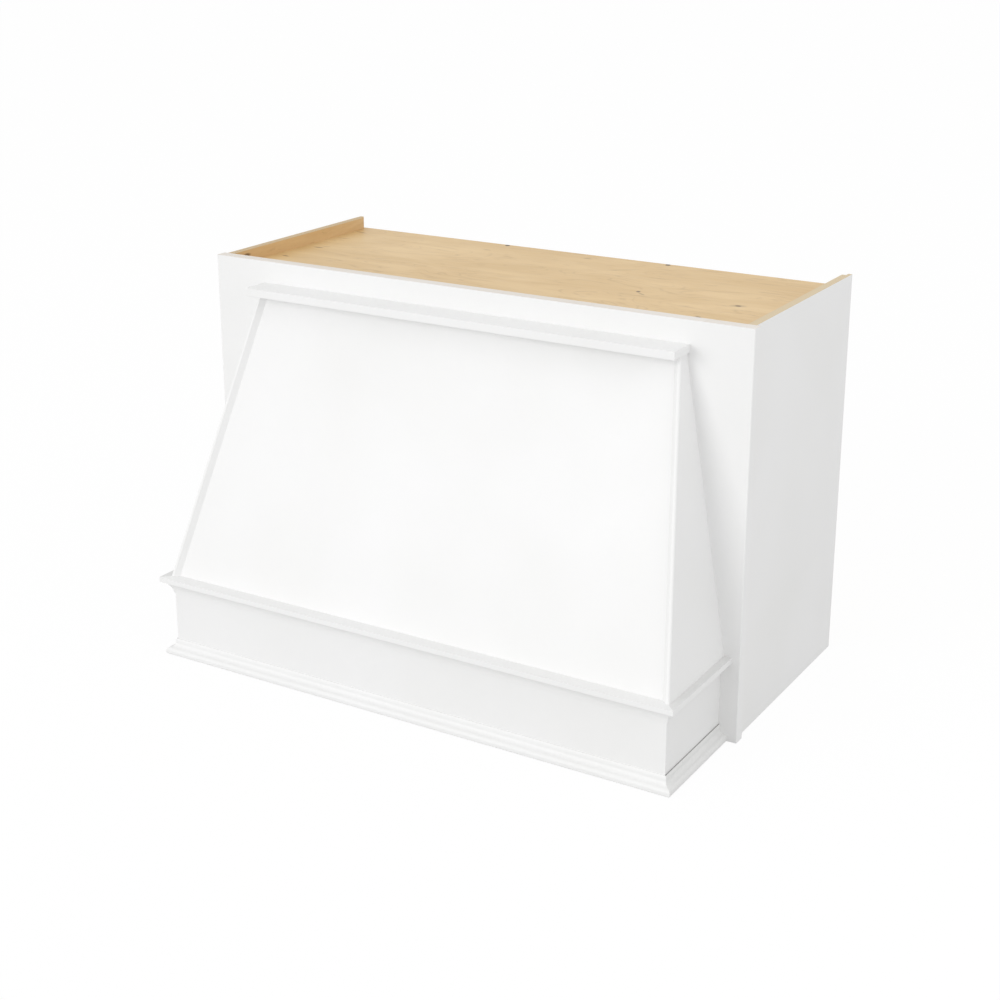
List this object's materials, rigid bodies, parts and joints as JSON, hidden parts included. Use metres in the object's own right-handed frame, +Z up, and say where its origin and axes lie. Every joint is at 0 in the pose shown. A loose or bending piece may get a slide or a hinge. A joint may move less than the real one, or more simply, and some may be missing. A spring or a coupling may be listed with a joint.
{
  "type": "wooden range hood cover",
  "caption": "Wall-hung wooden range hood cover: plywood cabinet box with a face frame and a tapered chimney on an apron with mitred mouldings.",
  "frame": {"origin": "centre of the overall box in plan, on the bottom edges of the box and the apron", "axes": "+X along the width, to the right seen from the front; +Y towards the wall; +Z up"},
  "size_m": [0.9144, 0.572, 0.6096],
  "materials": {
    "painted_wood": "satin white paint",
    "painted_plywood": "satin white paint outside, clear-coated maple veneer inside",
    "maple_plywood": "clear-coated maple veneer",
    "bare_wood": "planed bare wood",
    "dark_screw": "black phosphate"
  },
  "bodies": {
    "root": {"side_left": "painted_plywood", "side_right": "painted_plywood", "top_panel": "maple_plywood", "back_panel": "maple_plywood", "hanging_rail_upper": "bare_wood", "hanging_rail_lower": "bare_wood", "cheek_cleat_left": "bare_wood", "cheek_cleat_right": "bare_wood", "panel_cleat_left": "bare_wood", "panel_cleat_right": "bare_wood", "panel_top_cleat": "bare_wood", "apron_block_left": "bare_wood", "apron_block_right": "bare_wood", "apron_cleat_left": "bare_wood", "apron_cleat_right": "bare_wood", "stile_left": "painted_wood", "stile_right": "painted_wood", "top_rail": "painted_wood", "apron_front": "painted_wood", "apron_left": "painted_wood", "apron_right": "painted_wood", "cheek_left": "painted_wood", "cheek_right": "painted_wood", "chimney_panel": "painted_wood", "cap_board": "painted_wood", "mid_moulding_front": "painted_wood", "mid_moulding_left": "painted_wood", "mid_moulding_right": "painted_wood", "base_moulding_front": "painted_wood", "base_moulding_left": "painted_wood", "base_moulding_right": "painted_wood", "top_panel_screws": "dark_screw", "cleat_screws": "dark_screw", "frame_screws": "dark_screw"}
  },
  "joints": []
}
